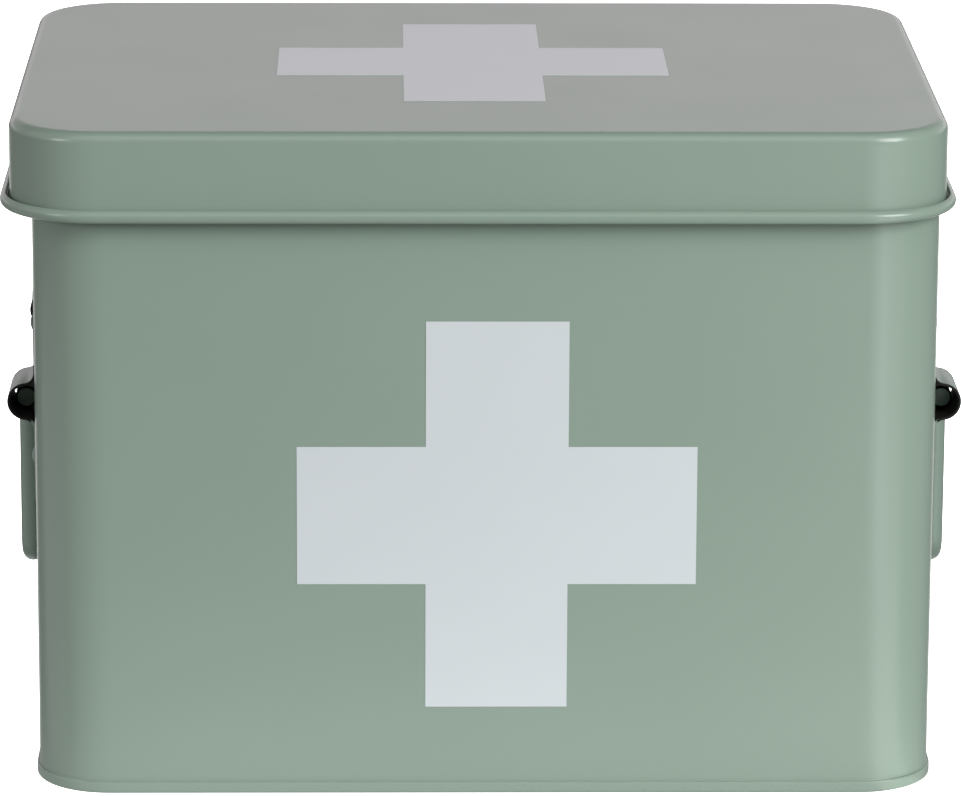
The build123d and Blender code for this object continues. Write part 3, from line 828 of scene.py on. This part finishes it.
# %% Hinges
pin_radius = barrel - LEAF - PIN_PLAY
pin_end = np.array([(0.3, 0), (pin_radius - 0.3, 0), (pin_radius - 0.08, 0.1), (pin_radius, 0.3),
                    (pin_radius, 0.8)])
pin_profile = np.concatenate([pin_end, (pin_end * (1, -1) + (0, HINGE_WIDTH))[::-1]])
for side_name, side in SIDES:
    middle = side * hinge_middle
    for node, body, up, knuckles in (("body", "box", -1, (0, 2)), ("lid", "lid", 1, (1,))):
        make_piece(f"hinge_{node}_plate_{side_name}", hinge_leaf(middle, up, knuckles), body,
                   HARDWARE_PAINT, [f"hinge_{node}_leaf_{side_name}"])
    pin = turned(pin_profile, (middle - HINGE_WIDTH / 2, HINGE_Y, HINGE_Z), (1, 0, 0), (0, 1, 0))
    make_piece(f"hinge_wire_{side_name}", [pin], "box", PIN_STEEL, [f"hinge_pin_{side_name}"])

LEAF_RIVET_STEP, LEAF_RIVET_HEIGHT = 9.0, 11.0
profile = rivet_profile(LEAF + SHEET)
for name, body, face_y, up in (("body", "box", BODY_BACK + LEAF, -1), ("lid", "lid", SKIRT_BACK + LEAF, 1)):
    feet = [(side * hinge_middle + across * LEAF_RIVET_STEP, face_y, HINGE_Z + up * LEAF_RIVET_HEIGHT)
            for side in (-1, 1) for across in (-1, 1)]
    rivets = [turned(profile, foot, (0, 1, 0), (1, 0, 0)) for foot in feet]
    make_piece(f"hinge_rivet_heads_{name}", rivets, body, HARDWARE_PAINT,
               [f"hinge_rivets_{name}"])

# %% [markdown]
# ## Printed crosses
# The two crosses are screen-printed: a film of ink with crisp edges. The CAD nodes already have
# that shape, so they stay and only get their finish.

# %% Crosses
for name in ("front_cross", "lid_cross"):
    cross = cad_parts[name]
    cross.data.materials.clear()
    cross.data.materials.append(PRINT_WHITE)
print("printed", "front_cross", "lid_cross")

# %% [markdown]
# ## Soft patches of light
# Semi-gloss paint shows its surroundings, so a plain studio is built round the box: a white table
# and a sky with a few pale patches. Area lights alone could do it, but each has hard edges that
# the paint would mirror; patches with soft edges, painted on the sky and on the table, have none
# and keep the picture clean of noise.

# %% Soft patches
def window(tree, socket, low, high, soft):
    """Product of a rising step at the low end and a falling step at the high end of a range."""
    return product(tree, step(tree, socket, low - soft, low + soft),
                   step(tree, socket, high + soft, high - soft))

def compass(tree, vector):
    """Bearing of a vector in degrees, atan2(x, -y): 0 to the front and positive to the right."""
    split = tree.nodes.new("ShaderNodeSeparateXYZ")
    tree.links.new(vector, split.inputs[0])
    forward = product(tree, split.outputs["Y"], -1.0)
    bearing = math_node(tree, "ARCTAN2", split.outputs["X"], forward)
    return product(tree, bearing, 180 / np.pi), split.outputs

def total(tree, parts):
    """Sum of strength x pattern over a list of (strength, pattern)."""
    parts = [product(tree, pattern, strength) for strength, pattern in parts]
    result = parts[0]
    for part in parts[1:]:
        result = math_node(tree, "ADD", result, part)
    return result

# %% [markdown]
# ## Floor
# The table is one plain white plane. The rounded corners and the foot of the box mirror it, so
# the light thrown on it matters: fans at the front right draw the highlight down the right
# corners, narrow ones beside and behind the box light the edges of its outline, and patches in
# front of the foot and behind the box keep the paint near the table from going dark. A floor lit
# evenly would flatten the box.

# %% Floor
FAN_EDGE, REACH_EDGE, PATCH_EDGE = 5.0, 0.03, 0.05

def lit_floor(size, lift, fans, patches):
    """Floor that throws light up at the box: fans of (strength, foot, first and last bearing,
    nearest and furthest) and soft-edged patches of (strength, X range, Y range). The camera alone
    sees the even lift that makes the table white."""
    mesh = bpy.data.meshes.new("floor")
    corners = [(-size, -size, 0), (size, -size, 0), (size, size, 0), (-size, size, 0)]
    mesh.from_pydata(corners, [], [(0, 1, 2, 3)])
    material, tree, shader, place = new_finish("white table", roughness=0.6)
    shader.inputs["Base Color"].default_value = (0.2, 0.2, 0.2, 1)
    shader.inputs["Emission Color"].default_value = (1, 1, 1, 1)
    patterns = []
    for strength, foot, first, last, near, far in fans:
        from_foot = tree.nodes.new("ShaderNodeVectorMath")
        from_foot.operation = "SUBTRACT"
        from_foot.inputs[1].default_value = (*foot, 0)
        tree.links.new(place, from_foot.inputs[0])
        away = tree.nodes.new("ShaderNodeVectorMath")
        away.operation = "LENGTH"
        tree.links.new(from_foot.outputs[0], away.inputs[0])
        bearing, _ = compass(tree, from_foot.outputs[0])
        fan = window(tree, bearing, first, last, FAN_EDGE)
        ring = window(tree, away.outputs["Value"], near, far, REACH_EDGE)
        patterns.append((strength, product(tree, fan, ring)))
    spot = tree.nodes.new("ShaderNodeSeparateXYZ")
    tree.links.new(place, spot.inputs[0])
    for strength, across, along in patches:
        columns = window(tree, spot.outputs["X"], *across, PATCH_EDGE)
        rows = window(tree, spot.outputs["Y"], *along, PATCH_EDGE)
        patterns.append((strength, product(tree, columns, rows)))
    seen = tree.nodes.new("ShaderNodeLightPath").outputs["Is Camera Ray"]
    tree.links.new(total(tree, patterns + [(lift, seen)]), shader.inputs["Emission Strength"])
    mesh.materials.append(material)
    floor = bpy.data.objects.new("floor", mesh)
    bpy.context.collection.objects.link(floor)
    print("floor", len(fans), "fans", len(patches), "patches")

RIGHT_FOOT, LEFT_FRONT, RIGHT_FRONT = (0.088, -0.06), (-0.10, -0.08), (0.10, -0.08)
highlight_fans = [(1.12, RIGHT_FOOT, 20, 60, 0.02, 0.20), (0.46, RIGHT_FOOT, 20, 60, 0.20, 0.70),
                  (1.51, RIGHT_FOOT, 14, 34, 0.22, 0.75)]
outline_fans = [(0.45, LEFT_FRONT, -125, -80, 0.03, 0.5), (0.9, LEFT_FRONT, -180, -156, 0.05, 1.0),
                (0.9, RIGHT_FRONT, 156, 180, 0.05, 1.0)]
foot_patches = [(0.53, (-0.12, 0.12), (-0.16, -0.05)), (0.20, (-0.14, 0.14), (-0.25, -0.10))]
back_patch = (1.0, (-0.14, 0.14), (0.10, 0.40))
lit_floor(size=6.0, lift=1.4, fans=highlight_fans + outline_fans, patches=foot_patches + [back_patch])

# %% [markdown]
# ## Lamps and sky
# Two soft boxes at the right make that side of each sheet lighter, and a low one at the left
# picks out the left corners. The rest is sky: one wide patch in front and above, one at the left,
# and a pale backdrop that the top of the lid mirrors at this low view. An HDR picture could give
# such light too, but then the shadows and the highlights couldn't be set one by one.

# %% Lamps
AIM = (0, 0, 0.08)

def soft_box(name, place, width, height, watts):
    """Rectangular area light at a place, facing the middle of the box and unseen by the camera."""
    data = bpy.data.lights.new(name, "AREA")
    data.shape = "RECTANGLE"
    data.size, data.size_y = width, height
    data.energy = watts
    light = bpy.data.objects.new(name, data)
    back = np.array(place) - np.array(AIM)
    back /= np.linalg.norm(back)
    side = np.cross((0, 0, 1), back)
    side /= np.linalg.norm(side)
    matrix = np.eye(4)
    matrix[:3] = np.stack([side, np.cross(back, side), back, place], axis=1)
    light.matrix_world = Matrix(matrix.tolist())
    light.visible_camera = False
    bpy.context.collection.objects.link(light)
    print(name, watts, "W")

soft_box("high right soft box", (0.8, -0.9, 0.75), 0.6, 0.6, 10.6)
soft_box("low right soft box", (0.85, -0.85, 0.45), 0.35, 0.35, 2.0)
soft_box("low left soft box", (-0.93, -0.80, 0.45), 0.4, 0.3, 2.6)

# %% Sky
BEARING_EDGE, RISE_EDGE = 6.0, 4.0
BEHIND, RIGHTWARDS = (0.30, 0.60), (-0.12, 0.12)
SKY_TINT = (1.06, 0.97, 1.02, 1)

def studio_sky(patches, backdrop):
    """Sky of soft patches, (strength, first and last bearing, lowest and highest elevation), and
    of a backdrop behind the box in bands of (strength, share added at the right, lowest, highest)."""
    world = bpy.data.worlds.new("studio")
    world.use_nodes = True
    bpy.context.scene.world = world
    tree = world.node_tree
    bearing, parts = compass(tree, tree.nodes.new("ShaderNodeTexCoord").outputs["Generated"])
    rise = product(tree, math_node(tree, "ARCSINE", parts["Z"], 0.0), 180 / np.pi)
    behind = step(tree, parts["Y"], *BEHIND)
    right = step(tree, parts["X"], *RIGHTWARDS)
    patterns = []
    for strength, first, last, low, high in patches:
        around = window(tree, bearing, first, last, BEARING_EDGE)
        height = window(tree, rise, low, high, RISE_EDGE)
        patterns.append((strength, product(tree, around, height)))
    for strength, added, low, high in backdrop:
        band = product(tree, behind, window(tree, rise, low, high, RISE_EDGE))
        patterns += [(strength, band), (added, product(tree, band, right))]
    tree.links.new(total(tree, patterns), tree.nodes["Background"].inputs["Strength"])
    tree.nodes["Background"].inputs["Color"].default_value = SKY_TINT
    print("sky", len(patches), "patches,", len(backdrop), "bands")

front_patch, left_patch = (1.18, -45, 45, 34, 74), (0.74, -110, -70, 0, 40)
studio_sky(patches=[front_patch, left_patch], backdrop=[(1.02, 0.10, -1, 12), (0.47, 0.0, 12, 30)])
bpy.context.scene.view_settings.view_transform = "Standard"
